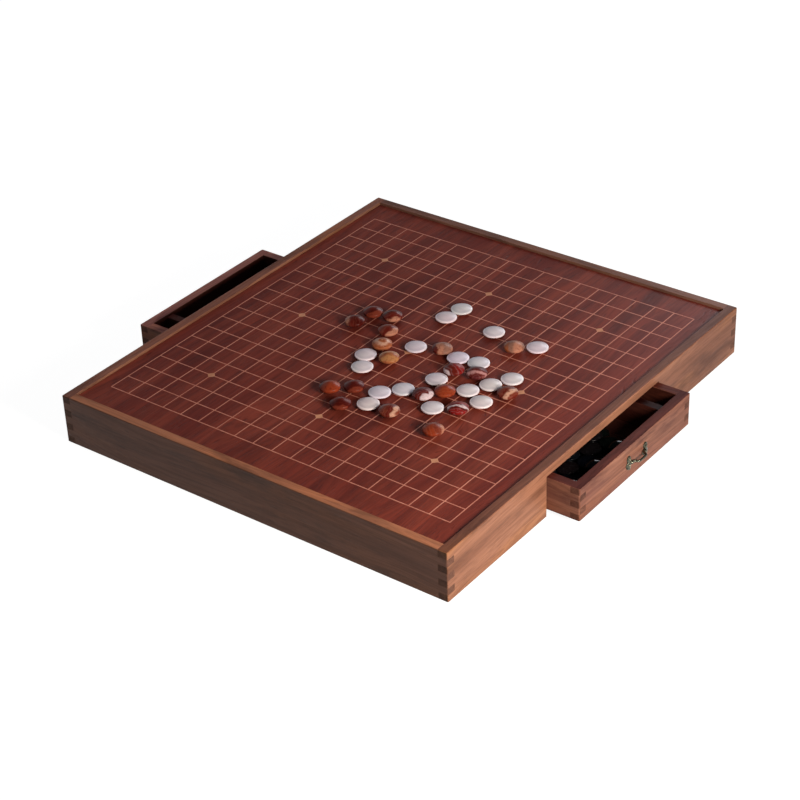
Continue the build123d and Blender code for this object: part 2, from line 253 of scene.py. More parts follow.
# Wood as it is sawn: rings round a heart that lies along X and wanders a little,
# fine fibres along X, open pores, and broad clouds of colour. Places are in metres.
sawn_wood, wood_in, wood_out = group_with(
    "sawn_wood",
    [("Place", "Vector", None), ("Ring Width", "Float", 0.005), ("Wander", "Float", 0.02)],
    [("Rings", "Float"), ("Fibres", "Float"), ("Pores", "Float"), ("Clouds", "Float")],
)
wander_noise = stretched_noise(sawn_wood, wood_in.outputs["Place"], (2.6, 13.0, 13.0), 2.0)
wander = node(
    sawn_wood,
    "ShaderNodeVectorMath",
    {0: wander_noise.outputs["Color"], 1: (0.5, 0.5, 0.5)},
    operation="SUBTRACT",
)
wandered = node(
    sawn_wood,
    "ShaderNodeVectorMath",
    {0: wander.outputs[0], "Scale": wood_in.outputs["Wander"]},
    operation="SCALE",
)
bent = node(
    sawn_wood,
    "ShaderNodeVectorMath",
    {0: wood_in.outputs["Place"], 1: wandered.outputs[0]},
    operation="ADD",
)
across = node(
    sawn_wood,
    "ShaderNodeVectorMath",
    {0: bent.outputs[0], 1: (0.0, 1.0, 1.0)},
    operation="MULTIPLY",
)
from_heart = node(sawn_wood, "ShaderNodeVectorMath", {0: across.outputs[0]}, operation="LENGTH")
ring_count = maths(sawn_wood, "DIVIDE", from_heart.outputs["Value"], wood_in.outputs["Ring Width"])
in_ring = maths(sawn_wood, "FRACT", ring_count)
darkening = step_between(sawn_wood, in_ring, 0.05, 0.86)
past_late_wood = step_between(sawn_wood, in_ring, 0.88, 1.0)
early_wood = maths(sawn_wood, "SUBTRACT", 1.0, past_late_wood)
ring_shade = maths(sawn_wood, "MULTIPLY", darkening, early_wood)
fibre_noise = stretched_noise(sawn_wood, bent.outputs[0], (9.0, 330.0, 330.0), 3.0, 0.62)
pore_noise = stretched_noise(sawn_wood, bent.outputs[0], (34.0, 760.0, 760.0), 1.0)
cloud_noise = stretched_noise(sawn_wood, bent.outputs[0], (4.0, 30.0, 30.0), 3.0, 0.55)
open_pores = step_between(sawn_wood, pore_noise.outputs[0], 0.58, 0.72)
broad_clouds = step_between(sawn_wood, cloud_noise.outputs[0], 0.3, 0.7)
sawn_wood.links.new(ring_shade, wood_out.inputs["Rings"])
sawn_wood.links.new(fibre_noise.outputs[0], wood_out.inputs["Fibres"])
sawn_wood.links.new(open_pores, wood_out.inputs["Pores"])
sawn_wood.links.new(broad_clouds, wood_out.inputs["Clouds"])


# Where a piece ends: a hair-thin line at its sharp corners, as at a glued joint, and
# a broader band along a rounded corner, which the finishes paint paler: partly
# handling wear, partly a painted highlight.
corners, corners_in, corners_out = group_with(
    "corners",
    [("Line Width", "Float", 0.0003), ("Rub Width", "Float", 0.0016)],
    [("Line", "Float"), ("Rub", "Float")],
)
flat_normal = node(corners, "ShaderNodeNewGeometry").outputs["Normal"]
for width, result, low, high in (
    ("Line Width", "Line", 0.06, 0.25),
    ("Rub Width", "Rub", 0.03, 0.28),
):
    rounded = node(corners, "ShaderNodeBevel", {"Radius": corners_in.outputs[width]}, samples=6)
    agreement = node(
        corners,
        "ShaderNodeVectorMath",
        {0: rounded.outputs[0], 1: flat_normal},
        operation="DOT_PRODUCT",
    )
    turned_away = maths(corners, "SUBTRACT", 1.0, agreement.outputs["Value"])
    corners.links.new(step_between(corners, turned_away, low, high), corners_out.inputs[result])


def grouped(tree, group, inputs=None):
    """A shader node group placed in a material with its own values."""
    made = node(tree, "ShaderNodeGroup", node_tree=group)
    for key, value in (inputs or {}).items():
        if isinstance(value, bpy.types.NodeSocket):
            tree.links.new(value, made.inputs[key])
        else:
            made.inputs[key].default_value = value
    return made


def wood_finish(
    name,
    grain_along,
    heart,
    pale,
    middle,
    deep,
    warm=None,
    ring_width=0.017,
    ring_strength=0.2,
    fibre_strength=0.14,
    pore_strength=0.2,
    patch_strength=0.55,
    wander=0.06,
    gloss=0.2,
    roughness=0.5,
    end_tone=0.6,
    rub_and_highlight_strength=0.3,
    top_light_tone=(1.0, 1.0, 1.0),
    shaded_box=None,
):
    """Oiled wood whose grain runs along X or Y; heart is the log's middle, in metres.

    Warm is the colour of its sunnier patches, deep that of its streaks. Upward faces are
    toned as painted light and shade, and what lies in the box is darkened as painted shade.
    """
    finish = bpy.data.materials.new(name)
    finish.use_nodes = True
    tree = finish.node_tree
    shader = tree.nodes["Principled BSDF"]
    coordinates = node(tree, "ShaderNodeTexCoord")
    turn = {"X": (0.0, 0.0, 0.0), "Y": (0.0, 0.0, -math.pi / 2)}[grain_along]
    placed = node(
        tree,
        "ShaderNodeMapping",
        {"Vector": coordinates.outputs["Object"], "Rotation": turn, "Location": heart},
        vector_type="POINT",
    )
    grain = grouped(
        tree, sawn_wood, {"Place": placed.outputs[0], "Ring Width": ring_width, "Wander": wander}
    )
    body = mixed(tree, grain.outputs["Clouds"], middle, pale)
    if warm:
        sunny = stretched_noise(tree, placed.outputs[0], (5.0, 19.0, 19.0), 2.0)
        sunny_share = maths(tree, "MULTIPLY", step_between(tree, sunny.outputs[0], 0.5, 0.68), 0.55)
        body = mixed(tree, sunny_share, body, warm)
    patches = stretched_noise(tree, placed.outputs[0], (9.0, 40.0, 40.0), 5.0, 0.66)
    patch_share = maths(
        tree, "MULTIPLY", step_between(tree, patches.outputs[0], 0.46, 0.72), patch_strength
    )
    body = mixed(tree, patch_share, body, deep)
    ring_share = maths(tree, "MULTIPLY", grain.outputs["Rings"], ring_strength)
    body = mixed(tree, ring_share, body, deep)
    dark_fibres = step_between(tree, grain.outputs["Fibres"], 0.62, 0.36)
    body = mixed(tree, maths(tree, "MULTIPLY", dark_fibres, fibre_strength), body, deep)
    body = mixed(tree, maths(tree, "MULTIPLY", grain.outputs["Pores"], pore_strength), body, deep)

    turned_normal = node(
        tree,
        "ShaderNodeMapping",
        {"Vector": coordinates.outputs["Normal"], "Rotation": turn},
        vector_type="POINT",
    )
    normal_parts = node(tree, "ShaderNodeSeparateXYZ", {0: turned_normal.outputs[0]})
    towards_grain = maths(tree, "ABSOLUTE", normal_parts.outputs["X"])
    end_grain = step_between(tree, towards_grain, 0.72, 0.9)
    soaked = mixed(tree, 1.0, body, (end_tone, end_tone, end_tone, 1.0), "MULTIPLY")
    body = mixed(tree, end_grain, body, soaked)

    edge = grouped(tree, corners)
    # Painted paler along rounded edges: partly handling wear, partly a painted highlight.
    body = mixed(tree, maths(tree, "MULTIPLY", edge.outputs["Rub"], rub_and_highlight_strength), body, pale)
    body = mixed(tree, maths(tree, "MULTIPLY", edge.outputs["Line"], 0.55), body, deep)
    # Painted light and shade: upward faces are lightened or darkened for how the lamps fall on them.
    upward = node(tree, "ShaderNodeSeparateXYZ", {0: coordinates.outputs["Normal"]}).outputs["Z"]
    painted_top_light = mixed(tree, 1.0, body, (*top_light_tone, 1.0), "MULTIPLY")
    body = mixed(tree, step_between(tree, upward, 0.75, 0.92), body, painted_top_light)
    if shaded_box:
        low_corner, high_corner = shaded_box
        middle_place = (low_corner + high_corner) / 2
        half_size = (high_corner - low_corner) / 2
        offset = node(
            tree,
            "ShaderNodeVectorMath",
            {0: coordinates.outputs["Object"], 1: middle_place},
            operation="SUBTRACT",
        )
        distance = node(tree, "ShaderNodeVectorMath", {0: offset.outputs[0]}, operation="ABSOLUTE")
        outside = node(
            tree,
            "ShaderNodeVectorMath",
            {0: distance.outputs[0], 1: half_size},
            operation="SUBTRACT",
        )
        parts = node(tree, "ShaderNodeSeparateXYZ", {0: outside.outputs[0]}).outputs
        furthest = maths(tree, "MAXIMUM", maths(tree, "MAXIMUM", parts[0], parts[1]), parts[2])
        # Painted shade: everything inside the drawer's box is darkened, where little light reaches.
        shaded_inside = mixed(tree, 1.0, body, (0.20, 0.12, 0.12, 1.0), "MULTIPLY")
        body = mixed(tree, step_between(tree, furthest, 0.0005, 0.0002), body, shaded_inside)
    tree.links.new(body, shader.inputs["Base Color"])

    uneven = maths(tree, "MULTIPLY_ADD", grain.outputs["Fibres"], -0.22, roughness + 0.11)
    tree.links.new(maths(tree, "MULTIPLY_ADD", end_grain, 0.15, uneven), shader.inputs["Roughness"])
    shader.inputs["Specular IOR Level"].default_value = gloss
    relief = maths(tree, "MULTIPLY_ADD", grain.outputs["Pores"], -1.0, grain.outputs["Fibres"])
    bump = node(tree, "ShaderNodeBump", {"Height": relief, "Strength": 0.35, "Distance": 0.00025})
    tree.links.new(bump.outputs[0], shader.inputs["Normal"])
    return finish


def dress(name, finish):
    """Gives a carried-over piece its finish, evenly over its mesh."""
    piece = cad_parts[name]
    piece.data.materials.clear()
    piece.data.materials.append(finish)


pale_walnut = (rgb(176, 124, 98), rgb(150, 100, 77), rgb(80, 46, 34), rgb(188, 126, 78))
shade_darkened_walnut = (rgb(138, 96, 78), rgb(118, 80, 65), rgb(62, 40, 32), rgb(140, 92, 66))
# The top tones are painted light on the front and back rails, painted shade on the side ones.
rail_cuts = {
    "front_rail": ("X", (0.40, 0.29, -0.075), shade_darkened_walnut, 0.9, (2.6, 2.2, 1.7)),
    "back_rail": ("X", (1.70, -0.31, -0.060), shade_darkened_walnut, 0.9, (1.3, 1.2, 1.2)),
    "left_rail": ("Y", (2.30, -0.27, -0.085), pale_walnut, 0.36, (1.0, 0.85, 0.9)),
    "right_rail": ("Y", (0.95, 0.262, -0.012), pale_walnut, 0.36, (0.6, 0.5, 0.5)),
}
for rail, (direction, heart, tones, end_tone, top_light_tone) in rail_cuts.items():
    rail_finish = wood_finish(
        f"walnut_{rail}",
        direction,
        heart,
        *tones,
        patch_strength=0.75,
        fibre_strength=0.3,
        pore_strength=0.3,
        end_tone=end_tone,
        top_light_tone=top_light_tone,
    )
    dress(rail, rail_finish)

# ------------------------------------------------------------ the playing panel
# A red-brown rosewood panel, lacquered satin, let in a little below the rim. Its
# grain runs from player to player, in dark streaks as long as several squares.
rosewood_pale = rgb(150, 68, 52)
rosewood_middle = rgb(124, 50, 40)
rosewood_deep = rgb(56, 18, 19)
dress(
    "playing_panel",
    wood_finish(
        "rosewood_panel",
        "Y",
        (0.3, 0.35, -0.22),
        rosewood_pale,
        rosewood_middle,
        rosewood_deep,
        ring_width=0.021,
        ring_strength=0.22,
        fibre_strength=0.26,
        pore_strength=0.4,
        patch_strength=0.42,
        wander=0.08,
        gloss=0.12,
        roughness=0.4,
        end_tone=0.7,
        rub_and_highlight_strength=0.0,
    ),
)

# -------------------------------------------------------- the grid and its stars
# Pale strips let into the panel and sanded level with it, crossing 19 by 19, and
# nine small rounded diamonds where the handicap points lie.
for strips, pale, deep in (
    ("grid_inlay", rgb(228, 152, 130), rgb(186, 108, 88)),
    ("star_points", rgb(228, 164, 128), rgb(176, 112, 84)),
):
    dress(
        strips,
        wood_finish(
            f"pale_{strips}",
            "Y",
            (0.1, 0.2, -0.1),
            pale,
            pale,
            deep,
            ring_strength=0.25,
            fibre_strength=0.35,
            pore_strength=0.3,
            gloss=0.16,
            roughness=0.45,
            end_tone=0.9,
            rub_and_highlight_strength=0.0,
        ),
    )

# -------------------------------------------- the base and what it is screwed to
# A stained plywood base lies inside the rails. Plain battens stand on it, carry the
# panel and guide the drawers, and are held by slotted brass screws from below.
dress(
    "base_panel",
    wood_finish(
        "stained_plywood",
        "X",
        (0.0, 0.05, -0.3),
        rgb(150, 104, 76),
        rgb(128, 86, 62),
        rgb(82, 52, 38),
        ring_width=0.02,
        ring_strength=0.45,
        roughness=0.62,
        gloss=0.15,
    ),
)
batten_finishes = {
    direction: wood_finish(
        f"plain_batten_{direction.lower()}",
        direction,
        (0.2, 0.1, -0.09),
        rgb(196, 160, 118),
        rgb(178, 140, 100),
        rgb(134, 98, 66),
        ring_strength=0.4,
        roughness=0.68,
        gloss=0.12,
        end_tone=0.75,
    )
    for direction in ("X", "Y")
}
for batten in ("front_cleat", "back_cleat"):
    dress(batten, batten_finishes["X"])
dress("centre_beam", batten_finishes["Y"])
for side in ("left", "right"):
    for end in ("front", "back"):
        dress(f"{side}_{end}_cleat", batten_finishes["Y"])
        dress(f"{side}_{end}_guide", batten_finishes["X"])


def metal_finish(name, bright, dull, dirt, roughness, scale=900.0):
    """Old cast or turned metal, dull and spotted, with paler edges: partly rubbed wear,
    partly a painted highlight.
    """
    finish = bpy.data.materials.new(name)
    finish.use_nodes = True
    tree = finish.node_tree
    shader = tree.nodes["Principled BSDF"]
    place = node(tree, "ShaderNodeTexCoord").outputs["Object"]
    spots = stretched_noise(tree, place, (scale, scale, scale), 3.0, 0.6)
    patina = step_between(tree, spots.outputs[0], 0.38, 0.66)
    edge = grouped(tree, corners, {"Line Width": 0.0002, "Rub Width": 0.0009})
    body = mixed(tree, patina, dull, dirt)
    # The edge band is painted paler: partly rubbed wear, partly a painted highlight.
    body = mixed(tree, maths(tree, "MULTIPLY", edge.outputs["Rub"], 0.7), body, bright)
    tree.links.new(body, shader.inputs["Base Color"])
    tree.links.new(maths(tree, "MULTIPLY_ADD", patina, 0.22, roughness), shader.inputs["Roughness"])
    tree.links.new(maths(tree, "MULTIPLY_ADD", patina, -0.35, 0.95), shader.inputs["Metallic"])
    bump = node(
        tree, "ShaderNodeBump", {"Height": spots.outputs[0], "Strength": 0.12, "Distance": 0.0001}
    )
    tree.links.new(bump.outputs[0], shader.inputs["Normal"])
    return finish


screw_brass = metal_finish(
    "screw_brass",
    bright=rgb(226, 196, 130),
    dull=rgb(178, 144, 84),
    dirt=rgb(92, 70, 44),
    roughness=0.32,
)
dress("base_screws", screw_brass)

# ------------------------------------------------------------------ the drawers
# Each is a shallow walnut box with five fingers to a corner, a thin floor in a groove
# and one divider that sets a small compartment apart. The inside is painted dark, as
# painted shade where little light reaches into the box.
groove_depth = 0.004
rim_easing = 0.0005
drawer_pale = rgb(164, 116, 96)
drawer_middle = rgb(128, 80, 68)
drawer_warm = rgb(158, 100, 68)
drawer_deep = rgb(64, 30, 32)
# The rim tone paints the drawer's upward faces: painted shade on the right, painted light on the
# left.
for side, shift, rim_light_tone in (("right", 0.0, (0.36, 0.18, 0.19)), ("left", 1.3, (1.4, 1.25, 1.5))):
    drawer_grain = {
        "front": ("Y", (0.6 + shift, 0.30, -0.052)),
        "back": ("Y", (1.4 + shift, 0.10, -0.060)),
        "left_side": ("X", (0.3 + shift, 0.14, -0.050)),
        "right_side": ("X", (0.9 + shift, -0.15, -0.048)),
        "divider": ("X", (1.9 + shift, -0.02, -0.070)),
    }
    box_low = Vector(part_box(f"{side}_drawer_bottom")[0])
    box_high = Vector(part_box(f"{side}_drawer_bottom")[1])
    box_low += Vector((groove_depth, groove_depth, 0.0))
    box_high -= Vector((groove_depth, groove_depth, 0.0))
    box_high.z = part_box(f"{side}_drawer_front")[1].z - rim_easing
    for wall, (direction, heart) in drawer_grain.items():
        dress(
            f"{side}_drawer_{wall}",
            wood_finish(
                f"walnut_{side}_drawer_{wall}",
                direction,
                heart,
                drawer_pale,
                drawer_middle,
                drawer_deep,
                drawer_warm,
                patch_strength=0.9,
                fibre_strength=0.3,
                pore_strength=0.3,
                gloss=0.1,
                top_light_tone=rim_light_tone,
                shaded_box=(box_low, box_high),
            ),
        )
    # The floor is given dark colours as painted shade.
    dress(
        f"{side}_drawer_bottom",
        wood_finish(
            f"shaded_floor_{side}",
            "X",
            (0.5 + shift, 0.04, -0.2),
            rgb(84, 40, 32),
            rgb(66, 32, 27),
            rgb(34, 18, 17),
            ring_width=0.016,
            ring_strength=0.4,
            roughness=0.5,
        ),
    )


# ------------------------------------------------------------------ the handles
# A small antique bronze pull, cast in one: two leaf-like feet with a round bow
# between them. Two round-headed nails through each foot hold it to the drawer.
def sampled(count):
    """Evenly spaced numbers from 0 to 1, both included."""
    return [i / count for i in range(count + 1)]


def smooth(share):
    """An S-shaped rise from 0 to 1."""
    share = min(max(share, 0.0), 1.0)
    return share * share * (3 - 2 * share)


def skin(shape, rows, closed_rows=False):
    """Faces between rows of points with as many points each."""
    made = [[shape.verts.new(point) for point in row] for row in rows]
    for first, second in zip(made, made[1:]):
        pairs = list(zip(first, first[1:], second[1:], second))
        if closed_rows:
            pairs.append((first[-1], first[0], second[0], second[-1]))
        for corner_points in pairs:
            shape.faces.new(corner_points)
    return made


def finished_piece(name, shape, finish, body, slot, *nodes):
    """Turns a worked shape into a smooth piece of the object that rides on a body."""
    same_point = 2e-6
    bmesh.ops.remove_doubles(shape, verts=shape.verts, dist=same_point)
    bmesh.ops.recalc_face_normals(shape, faces=shape.faces)
    mesh = bpy.data.meshes.new(name)
    shape.to_mesh(mesh)
    shape.free()
    mesh.materials.append(finish)
    mesh.shade_smooth()
    piece = bpy.data.objects.new(name, mesh)
    bpy.context.scene.collection.objects.link(piece)
    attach(piece, body)
    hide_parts(*nodes)


# A foot's lobes are given by the height of their middle and their radius. Places on
# the bow are measured along the drawer's face, from the middle of the pull.
foot_spacing = 0.0285
foot_half_height = 0.0074
foot_edge = 0.0006
foot_crown = 0.0017
foot_full_dome = 0.002
foot_rib_rise = 0.00025
foot_rib_width = 0.16
upper_lobe = (0.0037, 0.0031)
lower_lobe = (-0.0027, 0.0042)
bow_reach = 0.0082
bow_radius = 0.0013
bow_crown = 0.0006
bow_waist = 0.92
bow_end = 0.0118
bow_sides = 20
leg_start = 0.0100
leg_end = 0.0056
knuckle_radius = 0.0019
bead_width = 0.0017
collar_place = 0.0088
collar_width = 0.0007
collar_rise = 0.00022
nail_head_radius = 0.0014
nail_head_height = 0.0010
nail_head_edge = 0.0002
nail_sink = 0.0001
nail_sides = 20


def foot_half_width(height):
    """Half the width of a foot's two-lobed leaf at a height above its middle."""
    widest = 0.0
    for (middle, radius), way in ((upper_lobe, 1), (lower_lobe, -1)):
        out = (height - middle) * way
        reach = foot_half_height - abs(middle) if out > 0 else radius
        share = min(abs(out) / reach, 1.0)
        widest = max(widest, radius * (1 - share**2) ** (0.6 if out > 0 else 0.5))
    return widest


def add_foot(shape, place, middle):
    """A domed leaf with a shallow rib up its middle, standing on the drawer's face."""
    rows = []
    for share in sampled(44):
        height = foot_half_height * (2 * share - 1) * 0.999
        half = foot_half_width(height)
        fullness = min(1.0, half / foot_full_dome)
        row = [place(middle - half, height, 0.0)]
        for way in sampled(16):
            across_share = 2 * way - 1
            dome = (1 - across_share**2) ** 0.55
            rib = foot_rib_rise * math.exp(-((across_share / foot_rib_width) ** 2))
            out = foot_edge + (foot_crown - foot_edge) * dome * fullness + rib * dome
            row.append(place(middle + half * across_share * 0.97, height, out))
        row.append(place(middle + half, height, 0.0))
        rows.append(row)
    skin(shape, rows)


def bow_depth(along):
    """How far the bow's middle line stands out from the face: flat outside, steep legs."""
    rise = smooth((leg_start - abs(along)) / (leg_start - leg_end))
    crown = bow_crown * (1 - (along / leg_start) ** 2)
    low = knuckle_radius
    return low + (bow_reach - bow_radius - bow_crown - low) * rise + crown * rise


def add_bow(shape, place):
    """A round bar that swells to a bead at each knuckle and has a fillet in each leg."""
    steps = 72
    rows = []
    line = []
    for share in sampled(steps):
        along = (bow_end + knuckle_radius) * (2 * share - 1)
        line.append((along, bow_depth(along)))
    for i, (along, out) in enumerate(line):
        before = line[max(i - 1, 0)]
        after = line[min(i + 1, steps)]
        heading = Vector((after[0] - before[0], after[1] - before[1])).normalized()
        past_end = (abs(along) - bow_end) / knuckle_radius
        bead = math.exp(-(((abs(along) - bow_end) / bead_width) ** 2))
        collar = math.exp(-(((abs(along) - collar_place) / collar_width) ** 2))
        radius = bow_radius * bow_waist + (knuckle_radius - bow_radius) * bead + collar_rise * collar
        if past_end > 0:
            radius *= math.sqrt(max(1 - min(past_end, 0.999) ** 2, 0.0))
        row = []
        for turn in range(bow_sides):
            angle = 2 * math.pi * turn / bow_sides
            up = math.sin(angle) * radius
            sideways = math.cos(angle) * radius
            row.append(place(along - heading.y * sideways, up, out + heading.x * sideways))
        rows.append(row)
    skin(shape, rows, closed_rows=True)


def add_turning(shape, rows_of_points, segments, place):
    """A turned form: (radius, height) points swung round their axis and put in place."""
    rows = []
    for radius, height in rows_of_points:
        row = []
        for turn in range(segments):
            angle = 2 * math.pi * turn / segments
            row.append(place(radius * math.cos(angle), radius * math.sin(angle), height))
        rows.append(row)
    return skin(shape, rows, closed_rows=True)


handle_bronze = metal_finish(
    "antique_bronze",
    bright=rgb(188, 188, 166),
    dull=rgb(104, 104, 88),
    dirt=rgb(48, 48, 40),
    roughness=0.2,
    scale=420.0,
)
nail_brass = metal_finish(
    "nail_brass",
    bright=rgb(222, 216, 192),
    dull=rgb(160, 150, 122),
    dirt=rgb(66, 60, 46),
    roughness=0.2,
    scale=420.0,
)
nail_profile = [(nail_head_radius * 0.94, 0.0), (nail_head_radius, nail_head_edge)] + [
    (
        nail_head_radius * math.cos(share * math.pi / 2) + 1e-6,
        nail_head_edge + (nail_head_height - nail_head_edge) * math.sin(share * math.pi / 2),
    )
    for share in sampled(6)[1:]
]
for side, outward in (("right", 1), ("left", -1)):
    low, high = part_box(f"{side}_handle")
    face_x = low.x if outward > 0 else high.x
    middle_z = (low.z + high.z) / 2

    def on_face(along, up, out):
        """A point on or before this drawer's face, measured from the pull's middle."""
        return Vector((face_x + outward * out, outward * along, middle_z + up))

    pull = bmesh.new()
    for end in (-1, 1):
        add_foot(pull, on_face, end * foot_spacing / 2)
    add_bow(pull, on_face)
    finished_piece(
        f"{side}_pull",
        pull,
        handle_bronze,
        f"{side}_drawer",
        "handle_bronze",
        f"{side}_handle",
    )

    nails = bmesh.new()
    for end in (-1, 1):
        for middle, _ in (upper_lobe, lower_lobe):
            add_turning(
                nails,
                nail_profile,
                nail_sides,
                lambda a, b, h, end=end, middle=middle: on_face(
                    end * foot_spacing / 2 + a, middle + b, foot_crown - nail_sink + h
                ),
            )
    finished_piece(
        f"{side}_nails",
        nails,
        nail_brass,
        f"{side}_drawer",
        "nail_brass",
        f"{side}_handle_nails",
    )


# ------------------------------------------------------------- the white stones
# Flat lenses ground from shell and polished, each a little different in tint. They
# lie loose on the board among the agate ones.
stone_diameter = 0.0218
stone_edge = 0.0016
white_thickness = 0.0056
white_unevenness = 0.004
board_stone_sides = 56


def stone_places(name, thickness):
    """The lowest point of each stone of a group: its axis has a point at both ends."""
    height_tolerance = 3e-5
    ends = {}
    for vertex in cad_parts[name].data.vertices:
        key = (round(vertex.co.x, 5), round(vertex.co.y, 5))
        ends.setdefault(key, set()).add(round(vertex.co.z, 5))
    found = [
        Vector((x, y, z))
        for (x, y), heights in ends.items()
        for z in heights
        if any(abs(other - z - thickness) < height_tolerance for other in heights)
    ]
    return sorted(found, key=lambda point: (-round(point.y, 4), round(point.x, 4), point.z))


def stone_profile(diameter, thickness, edge, rings):
    """(radius, height) points from a stone's underside to its top, domed both ways."""
    half = thickness / 2
    bulge = edge / 4
    rim = diameter / 2 - bulge
    crown = half - edge / 2
    dome = [(rim * max(share, 1e-4), edge / 2 + crown * (1 - share**2)) for share in sampled(rings)]
    side = [
        (rim + bulge * math.cos(angle), edge / 2 * math.sin(angle))
        for angle in [math.radians(70 - 20 * i) for i in range(8)]
    ]
    below = [(radius, half - height) for radius, height in dome]
    above = [(radius, half + height) for radius, height in reversed(dome)]
    middle = [(radius, half - height) for radius, height in side]
    return below + middle + above


def add_stone(shape, profile, place, segments, chance, uneven, tilt=0.0, lift=0.0):
    """One stone, very slightly out of round, turned by chance; returns its points."""
    phases = [chance.uniform(0, 2 * math.pi) for _ in range(2)]
    lean = Matrix.Rotation(tilt, 3, Vector((math.cos(phases[0]), math.sin(phases[0]), 0)))
    half = Vector((0, 0, profile[-1][1] / 2))

    def put(a, b, height):
        """A point of the plain turned form, on this stone where it lies."""
        angle = math.atan2(b, a)
        two_sided = math.sin(2 * angle + phases[0])
        three_sided = math.cos(3 * angle + phases[1])
        wobble = 1 - uneven + uneven * two_sided * three_sided
        local = Vector((a * wobble, b * wobble, height)) - half
        return place + half + Vector((0, 0, lift)) + lean @ local

    return add_turning(shape, profile, segments, put)


def polished_stone(name, roughness, gloss):
    """An opaque polished stone: a material with its shader and place ready to colour."""
    finish = bpy.data.materials.new(name)
    finish.use_nodes = True
    tree = finish.node_tree
    shader = tree.nodes["Principled BSDF"]
    shader.inputs["Roughness"].default_value = roughness
    shader.inputs["Specular IOR Level"].default_value = gloss
    place = node(tree, "ShaderNodeTexCoord").outputs["Object"]
    return finish, tree, shader, place


def attribute(tree, name):
    """What a mesh carries at its points under a name, for a shader to read."""
    return node(tree, "ShaderNodeAttribute", attribute_name=name)


chance = random.Random(18)
white_profile = stone_profile(stone_diameter, white_thickness, stone_edge, rings=10)
white_shape = bmesh.new()
white_tint = white_shape.verts.layers.float_vector.new("tint")
white_rim = white_shape.verts.layers.float.new("rim")
for place in stone_places("white_stones", white_thickness):
    tint = Vector((0.84, 0.765, 0.82)) + 0.05 * Vector([chance.uniform(-1, 0.6) for _ in range(3)])
    for row in add_stone(
        white_shape, white_profile, place, board_stone_sides, chance, white_unevenness
    ):
        for vertex in row:
            vertex[white_tint] = tint
            vertex[white_rim] = (vertex.co.xy - place.xy).length / (stone_diameter / 2)

shell, tree, shader, place = polished_stone("polished_shell", roughness=0.32, gloss=0.4)
growth = stretched_noise(tree, place, (70.0, 230.0, 120.0), 2.0)
growth_lines = step_between(tree, growth.outputs[0], 0.35, 0.68)
untouched = (1.0, 1.0, 1.0, 1.0)
painted_shoulder_shade = (0.86, 0.86, 0.88, 1.0)
painted_edge_highlight = (1.16, 1.16, 1.16, 1.0)
pearl = mixed(tree, growth_lines, (0.93, 0.90, 0.92, 1.0), untouched)
clouding = stretched_noise(tree, place, (55.0, 55.0, 55.0), 1.0)
cloud_share = step_between(tree, clouding.outputs[0], 0.45, 0.75)
pearl = mixed(tree, cloud_share, pearl, (0.90, 0.94, 0.92, 1.0))
rim_share = attribute(tree, "rim").outputs["Fac"]
# Painted light: the dome is greyed towards its edge as painted shade, and the thin edge is
# brightened as a painted highlight.
painted_rim_light = mixed(tree, step_between(tree, rim_share, 0.45, 0.82), untouched, painted_shoulder_shade)
painted_rim_light = mixed(tree, step_between(tree, rim_share, 0.84, 0.92), painted_rim_light, painted_edge_highlight)
pearl = mixed(tree, 1.0, pearl, painted_rim_light, "MULTIPLY")
tree.links.new(
    mixed(tree, 1.0, attribute(tree, "tint").outputs["Color"], pearl, "MULTIPLY"),
    shader.inputs["Base Color"],
)
finished_piece("shell_stones", white_shape, shell, "root", "shell_white", "white_stones")

# ------------------------------------------------------------- the agate stones
# Smaller and fuller than the white ones, cut from banded red and tan agate and
# softly polished. Each has its own ground colour, bands and vein.
agate_radius = 0.0102
agate_edge = 0.0034
agate_unevenness = 0.008
deep_red = rgb(80, 20, 14)
dark_red = rgb(104, 32, 24)
brown_red = rgb(126, 54, 38)
orange_red = rgb(150, 60, 34)
bright_red = rgb(136, 30, 28)
purple_brown = rgb(92, 36, 38)
tan = rgb(188, 128, 104)
grey_tan = rgb(152, 108, 92)
orange = rgb(166, 92, 56)
amber = rgb(190, 130, 82)
cream = rgb(206, 158, 134)
rose = rgb(196, 140, 138)
rose_white = rgb(222, 200, 204)
# From the far player's side to the near one: ground, bands, vein, how many bands, the
# bearing across them in degrees (none where they are rings), and where along that way
# the vein lies and how far it spreads, both as shares of the stone's radius.
agate_kinds = [
    (tan, grey_tan, orange, 1.4, -142, 0.95, 0.40),
    (deep_red, dark_red, tan, 1.0, -45, 1.00, 0.24),
    (dark_red, deep_red, brown_red, 1.4, -30, 0.75, 0.30),
    (grey_tan, tan, dark_red, 1.2, -142, 0.95, 0.42),
    (brown_red, dark_red, tan, 0.9, -10, 0.95, 0.45),
    (deep_red, dark_red, tan, 1.1, -150, 0.80, 0.30),
    (purple_brown, dark_red, rose, 1.3, -60, 0.45, 0.15),
    (tan, orange, cream, 2.6, None, 0.55, 0.12),
    (bright_red, dark_red, rose_white, 0.7, -110, 0.98, 0.16),
    (brown_red, dark_red, cream, 2.2, -15, 0.45, 0.16),
    (amber, orange, cream, 2.4, -52, -0.45, 0.18),
    (orange_red, bright_red, amber, 0.9, 128, 0.75, 0.30),
    (purple_brown, dark_red, rose_white, 1.2, -20, 0.85, 0.30),
    (bright_red, deep_red, rose_white, 1.6, -60, 0.30, 0.11),
    (dark_red, deep_red, brown_red, 0.8, -52, 0.90, 0.20),
    (orange_red, brown_red, deep_red, 0.9, -160, 0.95, 0.35),
    (brown_red, dark_red, cream, 1.4, 10, 0.70, 0.18),
    (orange_red, brown_red, tan, 0.8, 40, 0.95, 0.26),
    (dark_red, deep_red, brown_red, 0.9, -52, 0.90, 0.20),
]
agate_low, agate_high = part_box("agate_stones")
agate_thickness = agate_high.z - agate_low.z
